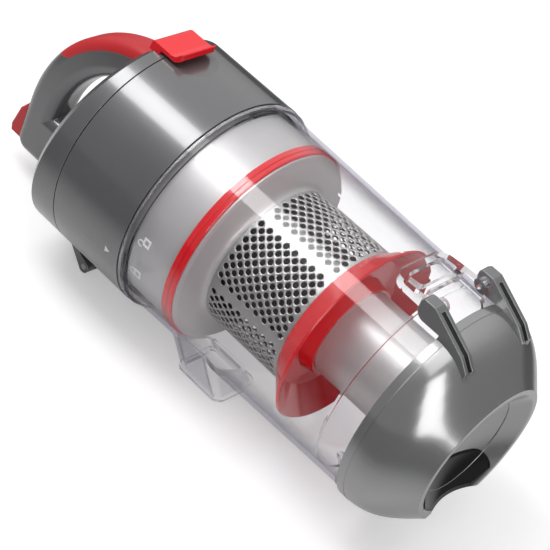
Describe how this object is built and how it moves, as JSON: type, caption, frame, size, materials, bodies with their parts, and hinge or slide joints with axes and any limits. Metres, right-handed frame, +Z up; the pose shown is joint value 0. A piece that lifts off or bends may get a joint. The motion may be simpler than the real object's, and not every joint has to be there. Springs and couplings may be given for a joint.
{
  "type": "cyclone dust bin",
  "caption": "Clear cyclone dust bin with a perforated shroud, red seals, a gunmetal head with loop handle and latch, a hinged silver dome lid and a tangential inlet.",
  "frame": {"origin": "on the floor under the middle of the object's box, with the bin lying on its inlet mouth", "axes": "+X along the bin from the handle to the domed lid, +Z up towards the latch, the inlet on the -Y side"},
  "size_m": [0.3718, 0.144, 0.1612],
  "materials": {
    "clear": "clear, polished",
    "gunmetal": "metallic grey coat",
    "silver": "metallic silver coat",
    "red": "glossy",
    "red_grip": "satin",
    "light_grey": "satin",
    "steel": "bright, perforated",
    "pin_steel": "turned",
    "dark_grey": "satin",
    "rubber": "matt",
    "filter_white": "pleated",
    "foam": "open foam"
  },
  "bodies": {
    "bin": {"clear_bin": "clear", "lid_pins": "pin_steel"},
    "head": {"collar": "gunmetal", "collar_seal": "rubber", "cover_hinge_pins": "pin_steel", "vortex_finder": "light_grey", "cyclone_body": "light_grey", "cyclone_screws": "pin_steel", "seal_ring": "red", "screen": "steel", "skirt": "red", "dust_tube": "silver", "tube_seal": "rubber", "inner_cone": "light_grey", "filter_frame": "light_grey", "filter_pleats": "filter_white", "filter_foam": "foam"},
    "cover": {"top_cover": "gunmetal", "cover_gasket": "rubber", "latch_pin": "pin_steel", "handle": "gunmetal", "grip_strip": "red_grip", "handle_screws": "pin_steel", "button_spring": "light_grey"},
    "latch": {"latch": "red"},
    "button": {"end_button": "red_grip"},
    "lid": {"dome_lid": "silver", "dome_floor": "light_grey", "lid_seal": "rubber", "near_prong": "dark_grey", "far_prong": "dark_grey"}
  },
  "joints": [
    {"name": "head_twist", "type": "hinge", "parent": "bin", "child": "head", "pos_m": [-0.0279, 0, 0.082], "axis": [-1, 0, 0], "range_deg": [0, 19]},
    {"name": "cover_hinge", "type": "hinge", "parent": "head", "child": "cover", "pos_m": [-0.0779, 0, 0.004], "axis": [0, -1, 0], "range_deg": [0, 95]},
    {"name": "latch_lift", "type": "hinge", "parent": "cover", "child": "latch", "pos_m": [-0.0899, 0, 0.1475], "axis": [0, -1, 0], "range_deg": [0, 22], "stiffness_Nm_per_rad": 0.1, "springref_deg": -11.46},
    {"name": "button_press", "type": "slide", "parent": "cover", "child": "button", "axis": [1, 0, 0], "range_m": [0, 0.004], "stiffness_N_per_m": 500, "springref_m": -0.002, "deforming": ["button_spring"]},
    {"name": "lid_hinge", "type": "hinge", "parent": "bin", "child": "lid", "pos_m": [0.1351, 0, 0.1517], "axis": [0, -1, 0], "range_deg": [0, 95]}
  ]
}
